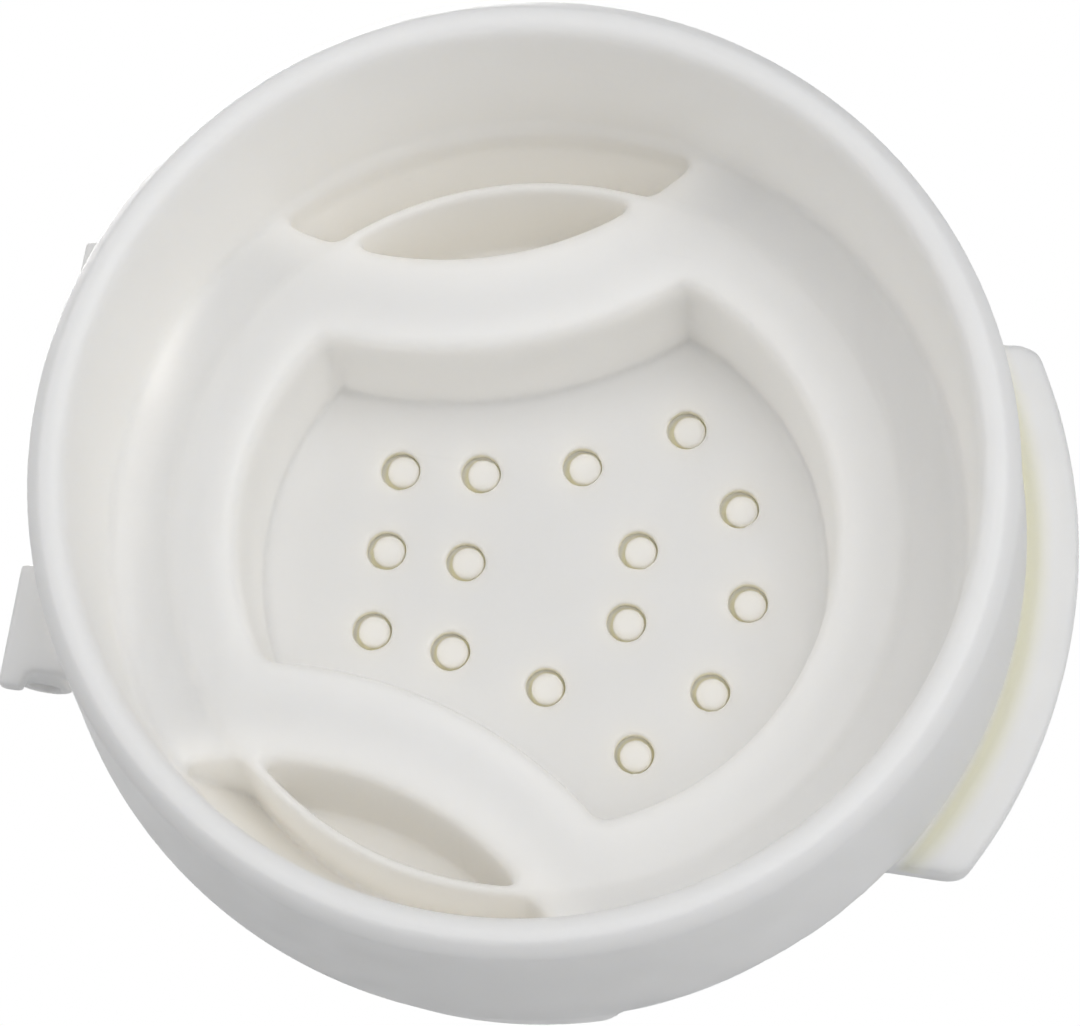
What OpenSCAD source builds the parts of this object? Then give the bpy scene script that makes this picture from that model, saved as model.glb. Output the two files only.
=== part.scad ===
// Shaker lid: a moulded cap with a sift plate, and a flip cover that swings on a hinge pin.
// The lid stands on its open rim, at Z = 0, with its axis on Z.
// The thumb tab is towards +X and the hinge towards -X. Sizes are in millimetres.

/* [Skirt] */
// Outside diameter of the skirt, just above its bevelled rim
skirt_d = 61.8; // [59:0.2:66]
// Thickness of the skirt wall, just above its bevelled rim
skirt_wall = 2.6; // [2.2:0.1:3.2]
// Distance that the skirt flares out from its bevelled rim to the deck
skirt_flare = 1.1; // [0.4:0.05:1.6]
// Width of the bevel round the outside of the open rim
rim_bevel_w = 0.9; // [0.3:0.1:1.3]
// Height of the bevel round the outside of the open rim
rim_bevel_h = 1.4; // [0.6:0.1:3]
// Width of the lead-in bevel round the inside of the open rim
mouth_bevel = 0.3; // [0.1:0.05:0.6]
// Depth from the open rim to the seat that the jar neck meets
seat_depth = 17.2; // [14:0.1:24]
// Size of the bevel in the corner between the wall of the mouth and the seat
seat_bevel = 0.6; // [0.5:0.05:0.9]

/* [Deck and plug ring] */
// Outside diameter of the plug ring, which fits inside the jar neck
plug_d = 48.4; // [46:0.2:52]
// Thickness of the plug ring
plug_wall = 0.7; // [0.5:0.1:1.2]
// Distance that the outside of the plug ring leans out from the deck to the top of the pockets
plug_draft = 0.85; // [0.5:0.05:1.1]
// Height that the plug ring and the deck stand proud of the seat
plug_step = 0.4; // [0.2:0.1:1.5]
// Thickness of the deck at the seat
deck_t = 1.2; // [1:0.1:2.5]

/* [Sift well] */
// Diameter across the round ends of the sift well, at its mouth
well_d = 39.4; // [38:0.2:42]
// Distance from the axis to the nearest point of each hollow flank of the well
well_waist = 12.9; // [12.4:0.1:13.2]
// Depth of the sift well from the deck
well_depth = 11.4; // [9:0.1:13]
// Distance that the walls of the well lean in from mouth to floor
well_lean = 0.4; // [0.2:0.1:0.9]
// Thickness of the walls of the well
well_wall = 1.4; // [1:0.1:1.8]
// Width of the bevel round the mouths of the well and of the pockets
mouth_round = 0.5; // [0.2:0.1:0.8]
// Thickness of the sift plate, the floor of the well
sift_t = 1.2; // [0.8:0.1:2]

/* [Shoulders] */
// Radius of the hollow flank of each raised shoulder, at its top
flank_r = 25.2; // [24:0.1:27]
// Distance from the axis to the nearest point of each shoulder, at its top
shoulder_waist = 18.3; // [18:0.1:19]
// Angle of the middle of each shoulder from the thumb tab
shoulder_angle = 107; // [104:1:110]
// Distance that the flank of each shoulder leans back from deck to top
shoulder_lean = 1; // [0.8:0.1:1.2]
// Thickness of the flank wall of each shoulder
shoulder_wall = 2.2; // [1.4:0.1:2.6]
// Thickness of the top of each shoulder
shoulder_top = 1.8; // [1:0.1:3]
// Height above the seat at which the outer wall of each pocket starts to lean in
pocket_knee = 2.7; // [2:0.1:3.4]
// Distance that the outer wall of each pocket leans in from there to its top
pocket_lean = 3.7; // [3.2:0.1:4]
// Distance that the outer faces of the shoulders and the cover lean in from deck to top
top_lean = 1.5; // [0.6:0.05:2]
// Width of the bevel round the top of the lid
top_bevel = 0.6; // [0.2:0.1:0.9]

/* [Sift holes and pegs] */
// Diameter of the sift holes
hole_d = 2.7; // [2.6:0.1:3]
// Diameter of the pegs that plug the sift holes
peg_d = 2.2; // [1.8:0.1:2.3]
// Distance that the pegs sit off the hole centres, towards the tab
peg_lead = 0.1; // [0.06:0.01:0.12]
// Distance from the peg tips to the inner face of the sift plate
peg_setback = 0.3; // [0.2:0.1:0.6]
// Radius of the curved row of holes next to the tab
row_r = 13.95; // [13:0.05:15]
// Angle between holes of the curved row
row_step = 27.6; // [24:0.1:30]
// Distance of the inner pair of holes from the axis, towards the tab
inner_pair_x = 6; // [5:0.1:7]
// Distance between the holes of the inner pair
inner_pair_gap = 5.1; // [4:0.1:6]
// Distance of the outer pair of holes from the axis, towards the tab
outer_pair_x = 1.3; // [0.5:0.1:2]
// Distance between the holes of the outer pair
outer_pair_gap = 15.6; // [14:0.1:17]
// Distance of the front column of holes from the axis, towards the hinge
front_column_x = 5.5; // [4:0.1:6.4]
// Spacing of the holes in the front column
front_column_step = 6.3; // [5:0.1:7]
// Distance of the rear column of holes from the axis, towards the hinge
rear_column_x = 11; // [9.8:0.1:12]
// Spacing of the holes in the rear column
rear_column_step = 5.7; // [5:0.1:6.4]

/* [Flip cover] */
// Thickness of the top of the cover
cover_t = 1.2; // [1:0.1:2]
// Thickness of the side walls of the cover
cover_wall = 1.2; // [0.8:0.1:1.4]
// Gap between the cover and the shoulders
cover_gap = 0.45; // [0.35:0.05:0.6]
// Setback of the front of the cover from the outer faces of the shoulders
cover_inset = 0.4; // [0.1:0.05:0.8]
// Gap between the cover and the sift plate
cover_lift = 0.2; // [0.1:0.05:0.5]
// Gap between the walls of the cover and the deck
cover_foot = 0.3; // [0.2:0.05:0.8]

/* [Thumb tab] */
// Distance that the thumb lip stands out from the top edge of the skirt
lip_reach = 3.6; // [3:0.1:6]
// Width of the thumb lip and of the boss under it
lip_w = 36; // [30:0.2:40]
// Height of the outer edge of the thumb lip
lip_h = 3.2; // [2.5:0.1:4.5]
// Width of the lip's turned-down edge
lip_edge_w = 3; // [2.4:0.1:3.2]
// Depth of the lip's turned-down edge
lip_edge_h = 0.9; // [0.4:0.1:1.4]
// Height of the lip's turned-down edge above the top of the deck
lip_rise = 1; // [0.5:0.1:3]
// Radius of the corners of the lip
lip_corner_r = 1.5; // [0.5:0.1:2.5]
// Distance that the top of the boss under the lip stands out of the skirt
boss_flare = 0.15; // [0.05:0.05:0.4]

/* [Hinge] */
// Diameter of the hinge pin
pin_d = 2; // [1.5:0.1:2.4]
// Running gap round the pin in the barrel of the cover
pin_gap = 0.05; // [0.02:0.01:0.1]
// Distance of the pin's axis out from the face of the skirt above its rim
pin_out = 0.3; // [0.2:0.1:1]
// Height of the pin's axis above the top of the deck
pin_rise = 4; // [3.6:0.1:4.6]
// Distance between the two hinge ears
ear_span = 14.2; // [12:0.2:16]
// Width of each hinge ear
ear_w = 7.1; // [5:0.1:8]
// Radius of the round end of each ear
ear_r = 2; // [1.8:0.1:2.3]
// Distance that the lip on the ledge under each ear reaches past the ear's outer side
ledge_extra = 1.3; // [0.5:0.1:2.5]
// Width of the lip on the ledge under each ear
ledge_lip_w = 1.7; // [1.2:0.1:2.4]
// Thickness of the ledge under each ear
ledge_t = 1.4; // [1:0.1:4]
// Distance from the ends of the pin to the outer sides of the ears
pin_recess = 0.5; // [0.2:0.1:2]
// Diameter of the barrel of the cover
barrel_d = 4; // [3.6:0.1:4.4]
// Gap between each end of the barrel and the ear beside it
barrel_gap = 0.4; // [0.3:0.05:0.8]
// Gap between the rear wall of the cover and the ears
rear_gap = 2.9; // [2.5:0.1:3.2]
// Height that the strap climbs from the barrel to the rear wall of the cover
strap_rise = 2.5; // [1:0.1:4]

/* [Hidden] */
$fn = 96;
// Overlap that makes joined solids one
lap = 0.2;
// Length that makes a cut run right through
far = 100;

skirt_r = skirt_d / 2;
edge_r = skirt_r + skirt_flare;
mouth_r = skirt_r - skirt_wall;
seat_r = mouth_r - seat_bevel;
plug_r = plug_d / 2;
deck_z = seat_depth - plug_step;
deck_top = seat_depth + deck_t;
well_r = well_d / 2;
sift_z = deck_z + well_depth;
sift_top = sift_z + sift_t;
cover_under = sift_top + cover_lift;
lid_top = cover_under + cover_t;
pocket_top = lid_top - shoulder_top;
cover_low = deck_top + cover_foot;

// Profile of the wall of the mouth, from below the open rim to the seat
mouth_profile = [
    [0, -lap],
    [mouth_r + mouth_bevel + lap, -lap],
    [mouth_r, mouth_bevel],
    [mouth_r, seat_depth - seat_bevel],
    [seat_r, seat_depth]
];
// Profile of the outer wall of the pockets above the seat
pocket_profile = [
    [seat_r, seat_depth + pocket_knee],
    [seat_r - pocket_lean, pocket_top]
];

// The flanks of the well and of the shoulder on one side are arcs about one centre
flank_reach = shoulder_waist + flank_r;
well_flank_r = flank_reach - well_waist;

pin_x = -skirt_r - pin_out;
pin_z = deck_top + pin_rise;
ear_inner = ear_span / 2;
ear_outer = ear_inner + ear_w;
ear_face_x = pin_x - ear_r;
cover_rear_x = pin_x + ear_r + rear_gap;
barrel_r = barrel_d / 2;
barrel_w = ear_span - 2 * barrel_gap;
pin_len = 2 * (ear_outer - pin_recess);
bore_d = pin_d + 2 * pin_gap;

lip_r = edge_r + lip_reach;
lip_z = deck_top + lip_rise;
lip_half = lip_w / 2;

row_places = [for (i = [-2:2]) row_r * [cos(i * row_step), sin(i * row_step)]];
pair_places = [
    for (pair = [[inner_pair_x, inner_pair_gap], [outer_pair_x, outer_pair_gap]], side = [-1, 1])
        [pair[0], side * pair[1] / 2]
];
column_places = [
    for (column = [[front_column_x, front_column_step], [rear_column_x, rear_column_step]], i = [-1:1])
        [-column[0], i * column[1]]
];
hole_places = concat(row_places, pair_places, column_places);

// Radius of the leaning outer face of the shoulders at height z
function top_face(z) = edge_r - top_lean * (z - deck_top) / (lid_top - deck_top);

// Radius of the leaning flank of a shoulder at height z
function flank_at(z) = flank_r + shoulder_lean * (lid_top - z) / (lid_top - deck_top);

// Solid of revolution inside the outer face of the whole lid, widest at the top of the deck
module outer_form() {
    rotate_extrude() polygon([
        [0, 0],
        [skirt_r - rim_bevel_w, 0],
        [skirt_r, rim_bevel_h],
        [edge_r, deck_top],
        [top_face(lid_top - top_bevel), lid_top - top_bevel],
        [top_face(lid_top) - top_bevel, lid_top],
        [0, lid_top]
    ]);
}

// Puts its children on the arc centre of each flank
module at_flanks() {
    for (side = [-1, 1])
        rotate([0, 0, side * shoulder_angle]) translate([flank_reach, 0, 0]) children();
}

// Solids behind the flanks of the shoulders, grown by extra
module flank_cones(z_from, z_to, extra) {
    at_flanks() translate([0, 0, z_from])
        cylinder(h = z_to - z_from, r1 = flank_at(z_from) + extra, r2 = flank_at(z_to) + extra);
}

// Bow-tie prism with leaning sides, grown all round by its two extras
module well_form(z_from, z_to, extra_from, extra_to) {
    translate([0, 0, z_from]) difference() {
        cylinder(h = z_to - z_from, r1 = well_r + extra_from, r2 = well_r + extra_to);
        translate([0, 0, -lap]) at_flanks()
            cylinder(
                h = z_to - z_from + 2 * lap,
                r1 = well_flank_r - extra_from,
                r2 = well_flank_r - extra_to
            );
    }
}

module sift_well() {
    well_form(deck_z - lap, sift_z, 0, -well_lean);
    well_form(deck_z - lap, deck_z + mouth_round, mouth_round, 0);
}

// Solid of revolution inside a profile that ends at height z_to
module turned(profile, z_to) {
    rotate_extrude() polygon(concat(profile, [[0, z_to]]));
}

// Plug ring, drawn on past the top of the pockets
module plug_ring() {
    pocket_h = pocket_top - deck_z;
    translate([0, 0, deck_z]) difference() {
        cylinder(h = 2 * pocket_h, r1 = plug_r, r2 = plug_r + 2 * plug_draft);
        translate([0, 0, -lap]) cylinder(h = far, r = plug_r - plug_wall);
    }
}

// Hollow inside of the two shoulders, with the plug ring left standing across it
module pockets() {
    difference() {
        intersection() {
            turned(concat(mouth_profile, pocket_profile), pocket_top);
            union() {
                flank_cones(deck_z - lap, pocket_top, -shoulder_wall);
                at_flanks() translate([0, 0, deck_z - lap])
                    cylinder(
                        h = mouth_round + lap,
                        r1 = flank_at(deck_z) - shoulder_wall + mouth_round,
                        r2 = flank_at(deck_z) - shoulder_wall - lap
                    );
            }
        }
        plug_ring();
    }
}

// Skirt, deck and shoulders, before they are hollowed
module blank() {
    intersection() {
        outer_form();
        union() {
            cylinder(h = deck_top, r = far);
            flank_cones(seat_depth, lid_top + lap, 0);
        }
    }
}

// Hollow of the skirt, from the open rim to the seat, with the plug ring standing in its end
module mouth() {
    difference() {
        turned(mouth_profile, seat_depth);
        translate([0, 0, deck_z]) cylinder(h = far, r = plug_r);
    }
}

// Flared block on the skirt under the thumb lip
module thumb_boss() {
    difference() {
        intersection() {
            translate([0, 0, rim_bevel_h])
                cylinder(h = deck_top - rim_bevel_h, r1 = skirt_r - lap, r2 = edge_r + boss_flare);
            translate([0, -lip_half, 0]) cube([far, lip_w, far]);
        }
        cylinder(h = far, r = mouth_r + lap);
    }
}

// Turns an outline drawn in X and Z into a bar along Y
module bar_along_y(y_from, y_to) {
    translate([0, y_to, 0]) rotate([90, 0, 0]) linear_extrude(y_to - y_from) children();
}

// One ear: a round-ended lug on a ledge that stands out from the skirt and ends in a lip
module ear() {
    ledge_z = deck_top - ledge_t;
    bar_along_y(ear_inner, ear_outer) {
        translate([pin_x, pin_z]) circle(r = ear_r);
        translate([ear_face_x, deck_top - lap]) square([2 * ear_r, pin_rise + lap]);
    }
    difference() {
        translate([ear_face_x, ear_inner, ledge_z]) cube([2 * ear_r + skirt_wall, ear_w, ledge_t]);
        cylinder(h = seat_depth, r = mouth_r);
    }
    translate([ear_face_x, ear_outer - lap, ledge_z]) cube([ledge_lip_w, ledge_extra + lap, ledge_t]);
}

module pin_rod(d, len) {
    translate([pin_x, 0, pin_z]) rotate([90, 0, 0]) cylinder(h = len, d = d, center = true);
}

module cap_body() {
    color("WhiteSmoke") difference() {
        union() {
            blank();
            thumb_boss();
            ear();
            mirror([0, 1, 0]) ear();
            well_form(seat_depth, sift_top, well_wall, well_wall - well_lean);
        }
        mouth();
        sift_well();
        pockets();
        for (place = hole_places)
            translate([place[0], place[1], deck_z]) cylinder(h = far, d = hole_d);
        pin_rod(pin_d, far);
    }
}

// Space between the shoulders from z_from to z_to, drawn in by inset, bevelled round the top
module cover_form(z_from, z_to, inset, bevel) {
    setback = cover_inset + inset;
    difference() {
        rotate_extrude() polygon([
            [0, z_from],
            [top_face(z_from) - setback, z_from],
            [top_face(z_to - bevel) - setback, z_to - bevel],
            [top_face(z_to) - setback - bevel, z_to],
            [0, z_to]
        ]);
        flank_cones(z_from - lap, z_to + lap, cover_gap + inset);
        translate([cover_rear_x + inset - far, -far / 2, 0]) cube([far, far, far]);
    }
}

module cover_shell() {
    difference() {
        cover_form(cover_low, lid_top, 0, top_bevel);
        cover_form(cover_low - lap, cover_under, cover_wall, 0);
    }
}

// Plan of the thumb lip, with round outer corners
module lip_plan(inner_r) {
    corner_y = lip_half - lip_corner_r;
    corner_x = sqrt(pow(lip_r - lip_corner_r, 2) - pow(corner_y, 2));
    difference() {
        union() {
            intersection() {
                circle(r = lip_r);
                polygon([
                    [0, -lip_half],
                    [corner_x, -lip_half],
                    [corner_x, -corner_y],
                    2 * [corner_x, -corner_y],
                    2 * [corner_x, corner_y],
                    [corner_x, corner_y],
                    [corner_x, lip_half],
                    [0, lip_half]
                ]);
            }
            for (side = [-1, 1])
                translate([corner_x, side * corner_y]) circle(r = lip_corner_r);
        }
        circle(r = inner_r);
    }
}

module thumb_lip() {
    root_r = top_face(lip_z + lip_h) - cover_inset - cover_wall / 2;
    translate([0, 0, lip_z + lip_edge_h]) linear_extrude(lip_h - lip_edge_h) lip_plan(root_r);
    translate([0, 0, lip_z]) linear_extrude(lip_edge_h + lap) lip_plan(lip_r - lip_edge_w);
}

module pegs() {
    tip_z = sift_z + peg_setback;
    for (place = hole_places)
        translate([place[0] + peg_lead, place[1], tip_z]) cylinder(h = cover_under + lap - tip_z, d = peg_d);
}

// Strap and barrel that carry the cover on the hinge pin
module hinge_strap() {
    strap_x = cover_rear_x + cover_wall / 2;
    difference() {
        bar_along_y(-barrel_w / 2, barrel_w / 2) {
            translate([pin_x, pin_z]) circle(r = barrel_r);
            polygon([
                [pin_x, pin_z - barrel_r],
                [strap_x, pin_z - barrel_r],
                [strap_x, pin_z + barrel_r + strap_rise],
                [pin_x, pin_z + barrel_r]
            ]);
        }
        pin_rod(bore_d, far);
    }
}

module flip_cover() {
    color("White") union() {
        cover_shell();
        thumb_lip();
        pegs();
        hinge_strap();
    }
}

module hinge_pin() {
    color("Gainsboro") pin_rod(pin_d, pin_len);
}

cap_body();
flip_cover();
hinge_pin();
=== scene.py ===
"""Flip-top shaker lid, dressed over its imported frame.

The lid stands on its open rim at Z = 0. The photograph looks up into the rim, so the camera and
four of the five lamps stand below the floor, which only shows from above.
"""
from math import cos, radians, sin
import bmesh
import bpy
from mathutils import Matrix, Vector

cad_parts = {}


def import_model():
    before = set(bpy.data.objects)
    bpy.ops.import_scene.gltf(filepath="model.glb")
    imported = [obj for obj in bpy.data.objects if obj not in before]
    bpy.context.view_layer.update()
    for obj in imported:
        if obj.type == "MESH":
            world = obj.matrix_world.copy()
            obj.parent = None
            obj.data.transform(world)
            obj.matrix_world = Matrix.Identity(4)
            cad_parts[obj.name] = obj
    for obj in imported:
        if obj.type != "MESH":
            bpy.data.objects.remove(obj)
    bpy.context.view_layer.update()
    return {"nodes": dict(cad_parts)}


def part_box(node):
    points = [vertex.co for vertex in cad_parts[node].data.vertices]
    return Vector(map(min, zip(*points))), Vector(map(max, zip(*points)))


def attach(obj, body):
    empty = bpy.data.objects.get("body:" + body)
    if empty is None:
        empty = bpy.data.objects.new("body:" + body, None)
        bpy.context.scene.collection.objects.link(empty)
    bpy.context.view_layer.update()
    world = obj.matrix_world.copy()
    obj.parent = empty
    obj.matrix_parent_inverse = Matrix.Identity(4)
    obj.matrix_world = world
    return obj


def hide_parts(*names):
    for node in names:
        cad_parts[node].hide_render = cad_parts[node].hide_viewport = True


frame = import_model()

MM = 0.001

# Sift holes, in millimetres: an arc of five by the thumb lip, two pairs and two columns of three
ARC_RADIUS = 13.95
ARC_STEP_DEG = 27.6
ARC_ANGLES = [radians(ARC_STEP_DEG * i) for i in range(-2, 3)]
SIFT_ARC = [(ARC_RADIUS * cos(angle), ARC_RADIUS * sin(angle)) for angle in ARC_ANGLES]
SIFT_PAIRS = [(x, side * y) for x, y in ((6, 2.55), (1.3, 7.8)) for side in (-1, 1)]
SIFT_COLUMNS = [(-x, i * y) for x, y in ((5.5, 6.3), (11, 5.7)) for i in range(-1, 2)]
HOLE_CENTRES = [MM * Vector(place) for place in SIFT_ARC + SIFT_PAIRS + SIFT_COLUMNS]
SIFT_PLATE_Z = 28.2 * MM


def stand(name, bm):
    """Turn a finished bmesh into an object at the origin."""
    mesh = bpy.data.meshes.new(name)
    bm.to_mesh(mesh)
    bm.free()
    piece = bpy.data.objects.new(name, mesh)
    bpy.context.collection.objects.link(piece)
    return piece


# Regions of the mouldings, as tests on a point

HOLE_REACH = 2.1 * MM
HOLE_MARGIN = 0.6 * MM
PEG_REACH = 1.6 * MM
PEG_LENGTH = 1.25 * MM
GROOVE_FROM_X = 15 * MM


def ring(low, high, inner, outer):
    """Test for points between two heights and two distances from the lid's axis, in millimetres."""
    def within(point):
        return low * MM < point.z < high * MM and inner * MM < point.xy.length < outer * MM

    return within


rim_edge = ring(low=-1, high=3, inner=29.4, outer=40)
rim_inside = ring(low=-1, high=3.5, inner=0, outer=29.2)
well_mouth = ring(low=15.6, high=19.4, inner=0, outer=23.3)
plug_edge = ring(low=15.8, high=19, inner=22.6, outer=25.2)
seat_corner = ring(low=15, high=18.2, inner=24.6, outer=29.5)
groove_ring = ring(low=17, high=21, inner=30.8, outer=34.2)


def everywhere(point):
    return True


def by_a_hole(point, reach):
    return any((point.xy - hole).length < reach for hole in HOLE_CENTRES)


def sift_hole(point):
    return point.z > SIFT_PLATE_Z - HOLE_MARGIN and by_a_hole(point, HOLE_REACH)


def peg(point):
    return SIFT_PLATE_Z < point.z < SIFT_PLATE_Z + PEG_LENGTH and by_a_hole(point, PEG_REACH)


def cap_at_large(point):
    return not sift_hole(point) and not rim_edge(point)


def cover_at_large(point):
    return not peg(point)


def tab_groove(point):
    return point.x > GROOVE_FROM_X and groove_ring(point)


# Mouldings

GRID = 0.2 * MM
MERGE_WITHIN = 0.002 * MM
CAP_TRIANGLES = 180000
COVER_TRIANGLES = 130000
# How many times each region is smoothed, in turn
CAP_EASING = [
    (3, everywhere),
    (11, cap_at_large),
    (40, rim_inside),
    (34, well_mouth),
    (14, plug_edge),
    (30, seat_corner),
    (20, tab_groove),
]
COVER_EASING = [(2, everywhere), (9, cover_at_large), (20, tab_groove)]
PEG_TURN = radians(0.25)
PEG_SHIFT = (0.07 * MM, 0.06 * MM, -0.15 * MM)


def ease(bm, times, within):
    """Smooth the points of a fine mesh that pass a test, so that its edges round off there."""
    points = [point for point in bm.verts if within(point.co)]
    for _ in range(times):
        bmesh.ops.smooth_vert(
            bm, verts=points, factor=0.5, use_axis_x=True, use_axis_y=True, use_axis_z=True
        )


def set_askew(bm):
    """Turn and shift the pegs a little in their holes, as the slack of the hinge lets them sit."""
    pegs = [point for point in bm.verts if peg(point.co)]
    bmesh.ops.rotate(bm, verts=pegs, cent=(0, 0, 0), matrix=Matrix.Rotation(PEG_TURN, 3, "Z"))
    bmesh.ops.translate(bm, verts=pegs, vec=PEG_SHIFT)


def evaluated(piece):
    """Mesh of an object with its modifiers applied."""
    graph = bpy.context.evaluated_depsgraph_get()
    return bpy.data.meshes.new_from_object(piece.evaluated_get(graph))


def moulding(name, node, body, easing, triangles, settle=None):
    """Copy of a CAD node with its edges and corners rounded, as a mould leaves them.

    The copy is merged and cut into a fine even grid, which is eased and then thinned.
    """
    bm = bmesh.new()
    bm.from_mesh(frame["nodes"][node].data)
    bmesh.ops.remove_doubles(bm, verts=bm.verts, dist=MERGE_WITHIN)
    piece = stand(name, bm)
    grid = piece.modifiers.new("fine_grid", "REMESH")
    grid.mode = "VOXEL"
    grid.voxel_size = GRID
    mesh = evaluated(piece)
    piece.modifiers.clear()
    bm = bmesh.new()
    bm.from_mesh(mesh)
    for times, within in easing:
        ease(bm, times, within)
    if settle:
        settle(bm)
    for face in bm.faces:
        face.smooth = True
    bm.to_mesh(mesh)
    bm.free()
    piece.data = mesh
    thin = piece.modifiers.new("thinned", "DECIMATE")
    thin.ratio = min(1, triangles / (2 * len(mesh.polygons)))
    piece.data = evaluated(piece)
    piece.modifiers.clear()
    piece.data.name = name
    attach(piece, body)
    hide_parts(node)
    return piece


# Hinge pin

ROD_SEGMENTS = 72
ROD_END_BREAK = 0.2 * MM


def hinge_rod():
    """The pressed-in pin, with its cut ends broken."""
    low, high = (Vector(corner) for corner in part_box("hinge_pin"))
    middle = (low + high) / 2
    size = high - low
    radius = size.x / 2
    bm = bmesh.new()
    bmesh.ops.create_cone(
        bm, cap_ends=True, segments=ROD_SEGMENTS, radius1=radius, radius2=radius, depth=size.y
    )
    bmesh.ops.rotate(bm, verts=bm.verts, matrix=Matrix.Rotation(radians(90), 3, "X"))
    bmesh.ops.translate(bm, verts=bm.verts, vec=middle)
    ends = [edge for edge in bm.edges if any(len(face.verts) > 4 for face in edge.link_faces)]
    bmesh.ops.bevel(
        bm, geom=ends, offset=ROD_END_BREAK, affect="EDGES", segments=4, profile=0.5, material=-1
    )
    for face in bm.faces:
        face.smooth = len(face.verts) == 4
    rod = stand("hinge_rod", bm)
    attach(rod, "cap")
    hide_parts("hinge_pin")
    return rod


# Shader nodes

def node_at(tree, kind, **settings):
    made = tree.nodes.new(kind)
    for key, value in settings.items():
        setattr(made, key, value)
    return made


def noise(tree, place, scale, detail):
    made = node_at(tree, "ShaderNodeTexNoise")
    made.inputs["Scale"].default_value = scale
    made.inputs["Detail"].default_value = detail
    tree.links.new(place, made.inputs["Vector"])
    return made.outputs["Fac"]


def spread(tree, value, low, high, to_low=0.0, to_high=1.0):
    """Stretch a value between two levels, and cut it off outside them."""
    made = node_at(tree, "ShaderNodeMapRange")
    made.inputs["From Min"].default_value = low
    made.inputs["From Max"].default_value = high
    made.inputs["To Min"].default_value = to_low
    made.inputs["To Max"].default_value = to_high
    tree.links.new(value, made.inputs["Value"])
    return made.outputs["Result"]


def maths(tree, operation, first, second):
    made = node_at(tree, "ShaderNodeMath", operation=operation)
    for socket, value in zip(made.inputs, (first, second)):
        if isinstance(value, (int, float)):
            socket.default_value = value
        else:
            tree.links.new(value, socket)
    return made.outputs["Value"]


def product(tree, *masks):
    made = masks[0]
    for mask in masks[1:]:
        made = maths(tree, "MULTIPLY", made, mask)
    return made


def blend_colour(tree, share, first, second):
    made = node_at(tree, "ShaderNodeMix", data_type="RGBA")
    tree.links.new(share, made.inputs["Factor"])
    # The colour sockets of a Mix node share their names with its other sockets, so they go by number
    for socket, value in zip((made.inputs[6], made.inputs[7]), (first, second)):
        if isinstance(value, tuple):
            socket.default_value = value
        else:
            tree.links.new(value, socket)
    return made.outputs[2]


def shown_rays(tree):
    """Mask of the rays that show a thing to the camera, straight, mirrored or through glass."""
    path = node_at(tree, "ShaderNodeLightPath")
    bent = maths(tree, "MAXIMUM", path.outputs["Is Glossy Ray"], path.outputs["Is Transmission Ray"])
    return maths(tree, "MAXIMUM", path.outputs["Is Camera Ray"], bent)


# Materials

RESIN_IOR = 1.49
RESIN_GLOW = (1.0, 0.98, 0.94)
SCUFF_COLOUR = (0.9, 0.9, 0.88, 1)
# Colour of the painted warm shade on the walls of the sift holes and in the groove under the tab
PAINTED_SHADE_COLOUR = (0.965, 0.925, 0.78, 1)
HAIRLINE_STRETCH = (90, 2600, 2600)
# Heights between which the sift hole walls get painted warm shade, on each piece
HOLE_WALL_SHADE_HEIGHTS = (28.35 * MM, 29.4 * MM)
PEG_SIDE_SHADE_HEIGHTS = (28.7 * MM, 29.6 * MM)
NOWHERE = (1, 0)
# How far the painted shade fades in at its low and high edges
PAINTED_SHADE_FADE = 0.2 * MM


def hairlines(tree, place, turn):
    """Thin straight scuffs along one direction."""
    stretch = node_at(tree, "ShaderNodeMapping")
    stretch.inputs["Rotation"].default_value = turn
    stretch.inputs["Scale"].default_value = HAIRLINE_STRETCH
    tree.links.new(place, stretch.inputs["Vector"])
    streaks = noise(tree, stretch.outputs["Vector"], scale=1, detail=1)
    return spread(tree, streaks, low=0.7, high=0.76)


def painted_shade_band(tree, place, low, high):
    """Mask of painted warm shade: the walls of the sift holes between two heights, and the groove
    under the thumb tab.
    """
    parts = node_at(tree, "ShaderNodeSeparateXYZ")
    tree.links.new(place, parts.inputs["Vector"])
    level = parts.outputs["Z"]
    squares = [maths(tree, "POWER", parts.outputs[axis], 2) for axis in "XY"]
    reach = maths(tree, "SQRT", maths(tree, "ADD", *squares), 0)
    holes = product(
        tree,
        spread(tree, maths(tree, "SUBTRACT", level, low), low=0, high=PAINTED_SHADE_FADE),
        spread(tree, maths(tree, "SUBTRACT", high, level), low=0, high=PAINTED_SHADE_FADE),
        spread(tree, reach, low=16.6 * MM, high=17.4 * MM, to_low=1, to_high=0),
    )
    groove = product(
        tree,
        spread(tree, reach, low=31.6 * MM, high=32.3 * MM),
        spread(tree, reach, low=32.9 * MM, high=34 * MM, to_low=0.85, to_high=0),
        spread(tree, level, low=16.4 * MM, high=18 * MM),
        spread(tree, level, low=20.6 * MM, high=21.4 * MM, to_low=1, to_high=0),
        spread(tree, parts.outputs["X"], low=18 * MM, high=27 * MM),
    )
    return maths(tree, "MAXIMUM", holes, groove)


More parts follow.
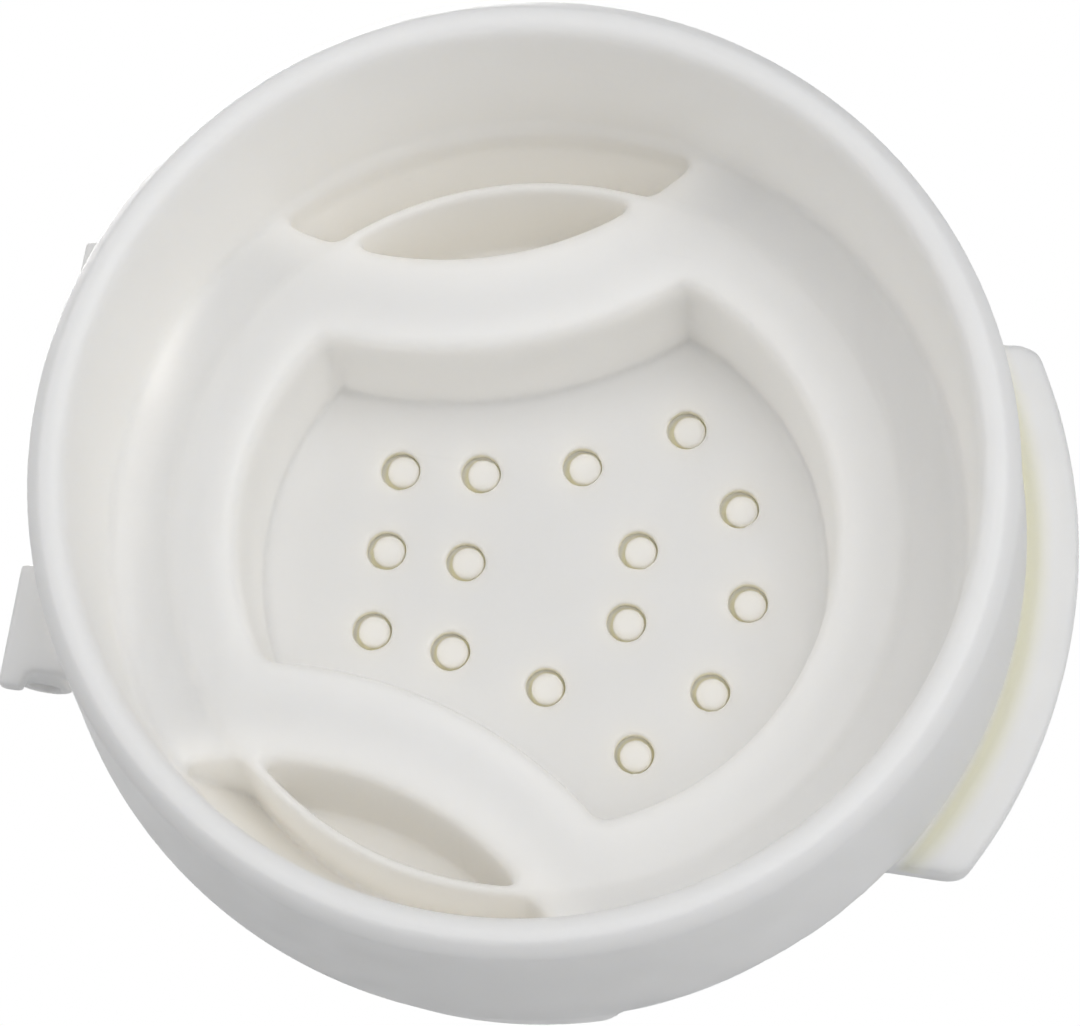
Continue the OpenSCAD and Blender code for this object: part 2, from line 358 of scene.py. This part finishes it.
def moulded_finish_and_shade():
    """Shared finish of the plastic: cloudy resin, uneven satin, fine grain, scuffs, and painted warm
    shade in the sift holes and the tab's groove.
    """
    group = bpy.data.node_groups.new("moulded_finish_and_shade", "ShaderNodeTree")
    for name in ("Pale", "Warm"):
        group.interface.new_socket(name, in_out="INPUT", socket_type="NodeSocketColor")
    for name in ("Satin", "Scuffing", "Painted Shade From", "Painted Shade To"):
        group.interface.new_socket(name, in_out="INPUT", socket_type="NodeSocketFloat")
    group.interface.new_socket("Colour", in_out="OUTPUT", socket_type="NodeSocketColor")
    for name in ("Roughness", "Height"):
        group.interface.new_socket(name, in_out="OUTPUT", socket_type="NodeSocketFloat")
    given = node_at(group, "NodeGroupInput").outputs
    made = node_at(group, "NodeGroupOutput").inputs
    place = node_at(group, "ShaderNodeTexCoord").outputs["Object"]

    cloud = spread(group, noise(group, place, scale=85, detail=4), low=0.36, high=0.66)
    resin = blend_colour(group, cloud, given["Pale"], given["Warm"])

    patches = spread(group, noise(group, place, scale=70, detail=2), low=0.45, high=0.62)
    lines = maths(
        group,
        "MAXIMUM",
        hairlines(group, place, turn=(0.3, 0.2, 0.6)),
        hairlines(group, place, turn=(-0.4, 0.5, -0.9)),
    )
    scuffs = product(group, lines, patches, given["Scuffing"])
    colour = blend_colour(group, scuffs, resin, SCUFF_COLOUR)
    # Painted warm shade on the hole walls and in the tab's groove
    painted_shade = painted_shade_band(group, place, given["Painted Shade From"], given["Painted Shade To"])
    colour = blend_colour(group, painted_shade, colour, PAINTED_SHADE_COLOUR)

    mottle = noise(group, place, scale=380, detail=3)
    satin = spread(group, mottle, low=0.3, high=0.7, to_low=-0.05, to_high=0.07)
    roughness = maths(group, "ADD", maths(group, "ADD", given["Satin"], satin), scuffs)

    grain = maths(group, "MULTIPLY", noise(group, place, scale=5200, detail=2), 0.35)
    ripple = noise(group, place, scale=160, detail=1)
    scratches = maths(group, "MULTIPLY", scuffs, 0.6)
    height = maths(group, "SUBTRACT", maths(group, "ADD", grain, ripple), scratches)

    group.links.new(colour, made["Colour"])
    group.links.new(roughness, made["Roughness"])
    group.links.new(height, made["Height"])
    return group


def plastic(name, finish, pale, warm, satin, scuffing, relief, depth, painted_shade_heights):
    """Satin moulded plastic that lets a little light in, with the shared finish set for a piece."""
    material = bpy.data.materials.new(name)
    material.use_nodes = True
    tree = material.node_tree
    shader = tree.nodes["Principled BSDF"]
    shader.inputs["IOR"].default_value = RESIN_IOR
    shader.inputs["Subsurface Weight"].default_value = 1.0
    shader.inputs["Subsurface Radius"].default_value = RESIN_GLOW
    shader.inputs["Subsurface Scale"].default_value = depth
    surface = node_at(tree, "ShaderNodeGroup", node_tree=finish)
    surface.inputs["Pale"].default_value = (*pale, 1)
    surface.inputs["Warm"].default_value = (*warm, 1)
    surface.inputs["Satin"].default_value = satin
    surface.inputs["Scuffing"].default_value = scuffing
    # Heights of the painted warm shade in the sift holes or on the pegs
    surface.inputs["Painted Shade From"].default_value = painted_shade_heights[0]
    surface.inputs["Painted Shade To"].default_value = painted_shade_heights[1]
    bump = node_at(tree, "ShaderNodeBump")
    bump.inputs["Strength"].default_value = 0.5
    bump.inputs["Distance"].default_value = relief
    tree.links.new(surface.outputs["Height"], bump.inputs["Height"])
    tree.links.new(surface.outputs["Colour"], shader.inputs["Base Color"])
    tree.links.new(surface.outputs["Roughness"], shader.inputs["Roughness"])
    tree.links.new(bump.outputs["Normal"], shader.inputs["Normal"])
    return material


finish = moulded_finish_and_shade()
cap_plastic = plastic(
    "cap_plastic",
    finish,
    pale=(0.996, 0.985, 0.96),
    warm=(0.993, 0.979, 0.95),
    satin=0.42,
    scuffing=0.12,
    relief=0.02 * MM,
    depth=2.5 * MM,
    # Painted warm shade on the walls of the sift holes
    painted_shade_heights=HOLE_WALL_SHADE_HEIGHTS,
)
cover_plastic = plastic(
    "cover_plastic",
    finish,
    pale=(0.995, 0.985, 0.962),
    warm=(0.991, 0.979, 0.952),
    satin=0.4,
    scuffing=0.15,
    relief=0.02 * MM,
    depth=2.2 * MM,
    # Painted warm shade on the sides of the pegs
    painted_shade_heights=PEG_SIDE_SHADE_HEIGHTS,
)
pin_plastic = plastic(
    "pin_plastic",
    finish,
    pale=(0.83, 0.83, 0.815),
    warm=(0.79, 0.785, 0.76),
    satin=0.28,
    scuffing=0.3,
    relief=0.01 * MM,
    depth=0.8 * MM,
    painted_shade_heights=NOWHERE,
)

cap = moulding("cap_moulding", "cap_body", "cap", CAP_EASING, CAP_TRIANGLES)
cover = moulding(
    "cover_moulding",
    "flip_cover",
    "cover",
    COVER_EASING,
    COVER_TRIANGLES,
    set_askew,
)
rod = hinge_rod()
for piece, material in ((cap, cap_plastic), (cover, cover_plastic), (rod, pin_plastic)):
    piece.data.materials.clear()
    piece.data.materials.append(material)


# Camera, at the photograph's viewing angle

SENSOR_WIDTH = 36
FOCAL_LENGTH = 143.2
CAMERA_POSE = Matrix((
    (0.98514, -0.14267, 0.09565, 0.0270355),
    (-0.16229, -0.9555, 0.24634, 0.0681441),
    (0.05625, -0.2582, -0.96445, -0.2546809),
    (0, 0, 0, 1),
))


def camera():
    lens = bpy.data.cameras.new("camera")
    lens.sensor_width = SENSOR_WIDTH
    lens.lens = FOCAL_LENGTH
    lens.clip_start = 0.01
    eye = bpy.data.objects.new("camera", lens)
    bpy.context.collection.objects.link(eye)
    eye.matrix_world = CAMERA_POSE
    bpy.context.scene.camera = eye


# Floor, lamps and world

FLOOR_HALF_WIDTH = 2
FLOOR_DROP = 0.2 * MM
FLOOR_GLOW = 0.25
LAMP_SIZE = 0.4
LAMP_AIM = Vector((0, 0, 0.012))
# Name, place in metres, watts and colour of each lamp
LAMPS = [
    ("key_below", (0.117, -0.071, -0.469), 0.72, (1, 1, 1)),
    ("right_below", (0.334, 0.05, -0.357), 0.5, (1, 0.99, 0.97)),
    ("left_below", (-0.335, -0.007, -0.359), 0.62, (1, 0.98, 0.95)),
    ("fill_right", (0.406, 0.278, -0.078), 0.3, (1, 0.99, 0.97)),
    ("key_above", (-0.25, -0.35, 0.6), 3.4, (1, 0.985, 0.96)),
]
SKY_COLOUR = (0.95, 0.97, 1, 1)
SKY_STRENGTH = 0.24


def floor():
    """Pale paper that keeps the lid's shadow, looks whiter than it is lit, and is clear from below."""
    bm = bmesh.new()
    bmesh.ops.create_grid(bm, x_segments=1, y_segments=1, size=FLOOR_HALF_WIDTH)
    bmesh.ops.translate(bm, verts=bm.verts, vec=(0, 0, -FLOOR_DROP))
    plane = stand("floor", bm)
    material = bpy.data.materials.new("floor_paper")
    material.use_nodes = True
    tree = material.node_tree
    paper = tree.nodes["Principled BSDF"]
    paper.inputs["Base Color"].default_value = (0.88, 0.88, 0.88, 1)
    paper.inputs["Roughness"].default_value = 0.8
    glow = node_at(tree, "ShaderNodeEmission")
    tree.links.new(maths(tree, "MULTIPLY", shown_rays(tree), FLOOR_GLOW), glow.inputs["Strength"])
    pale = node_at(tree, "ShaderNodeAddShader")
    tree.links.new(paper.outputs["BSDF"], pale.inputs[0])
    tree.links.new(glow.outputs["Emission"], pale.inputs[1])
    below = node_at(tree, "ShaderNodeBsdfTransparent")
    side = node_at(tree, "ShaderNodeNewGeometry")
    mix = node_at(tree, "ShaderNodeMixShader")
    tree.links.new(side.outputs["Backfacing"], mix.inputs["Fac"])
    tree.links.new(pale.outputs["Shader"], mix.inputs[1])
    tree.links.new(below.outputs["BSDF"], mix.inputs[2])
    tree.links.new(mix.outputs["Shader"], tree.nodes["Material Output"].inputs["Surface"])
    plane.data.materials.append(material)
    plane.visible_diffuse = False
    plane.visible_shadow = False


def softbox(name, place, watts, colour):
    """Round soft lamp that is aimed at the lid and isn't seen itself."""
    lamp = bpy.data.lights.new(name, "AREA")
    lamp.shape = "DISK"
    lamp.size = LAMP_SIZE
    lamp.energy = watts
    lamp.color = colour
    box = bpy.data.objects.new(name, lamp)
    bpy.context.collection.objects.link(box)
    place = Vector(place)
    turn = (LAMP_AIM - place).to_track_quat("-Z", "Y")
    box.matrix_world = Matrix.Translation(place) @ turn.to_matrix().to_4x4()
    box.visible_camera = False


def world():
    """Soft light from all round, which the camera and reflections see as plain white."""
    sky = bpy.data.worlds.new("studio")
    bpy.context.scene.world = sky
    sky.use_nodes = True
    tree = sky.node_tree
    light = tree.nodes["Background"]
    light.inputs["Color"].default_value = SKY_COLOUR
    light.inputs["Strength"].default_value = SKY_STRENGTH
    white = node_at(tree, "ShaderNodeBackground")
    white.inputs["Color"].default_value = (1, 1, 1, 1)
    mix = node_at(tree, "ShaderNodeMixShader")
    tree.links.new(shown_rays(tree), mix.inputs["Fac"])
    tree.links.new(light.outputs["Background"], mix.inputs[1])
    tree.links.new(white.outputs["Background"], mix.inputs[2])
    tree.links.new(mix.outputs["Shader"], tree.nodes["World Output"].inputs["Surface"])


camera()
floor()
for name, place, watts, colour in LAMPS:
    softbox(name, place, watts, colour)
world()

bpy.context.scene.view_settings.view_transform = "Standard"
# Pale plastic sends light on many times inside the well and the pockets
bpy.context.scene.cycles.max_bounces = 14
bpy.context.scene.cycles.diffuse_bounces = 12
